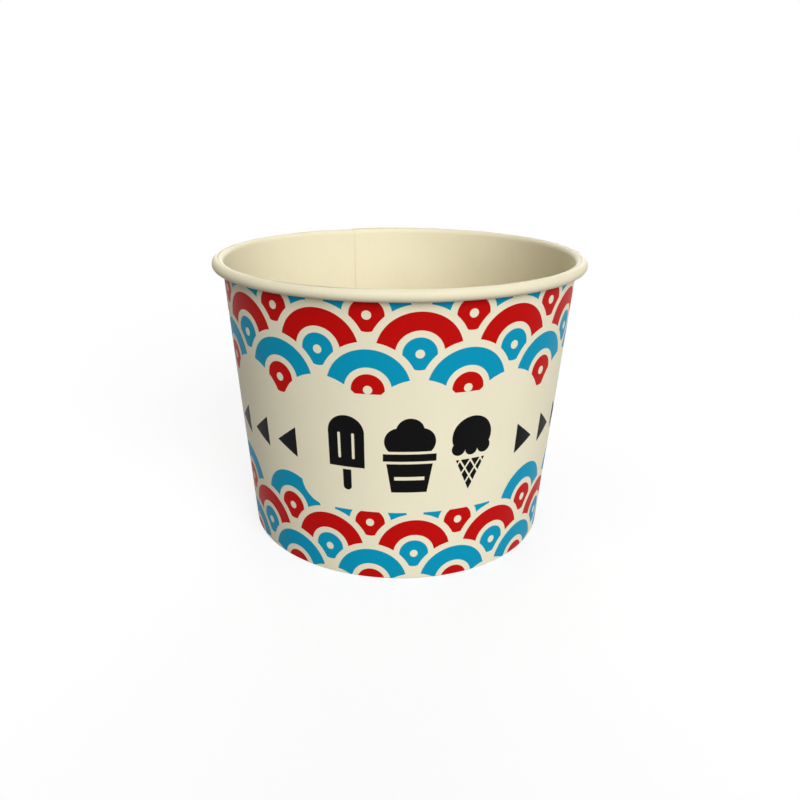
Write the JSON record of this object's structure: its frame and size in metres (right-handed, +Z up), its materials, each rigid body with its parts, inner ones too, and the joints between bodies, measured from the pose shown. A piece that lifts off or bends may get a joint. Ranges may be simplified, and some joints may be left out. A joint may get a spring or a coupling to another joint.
{
  "type": "paper dessert cup",
  "caption": "Round tub of coated board for ice cream or another dessert, with a rolled rim, a lapped side seam and a recessed floor.",
  "frame": {"origin": "centre of the base ring, on the plane that the cup stands on", "axes": "+Z up through the mouth, -Y towards the front of the print, +X to the right of it"},
  "size_m": [0.097, 0.097, 0.074],
  "materials": {
    "printed_board": "satin coated board with a printed outside",
    "plain_board": "satin coated board, unprinted"
  },
  "bodies": {
    "root": {"side_wall": "printed_board", "bottom_disc": "plain_board"}
  },
  "joints": []
}
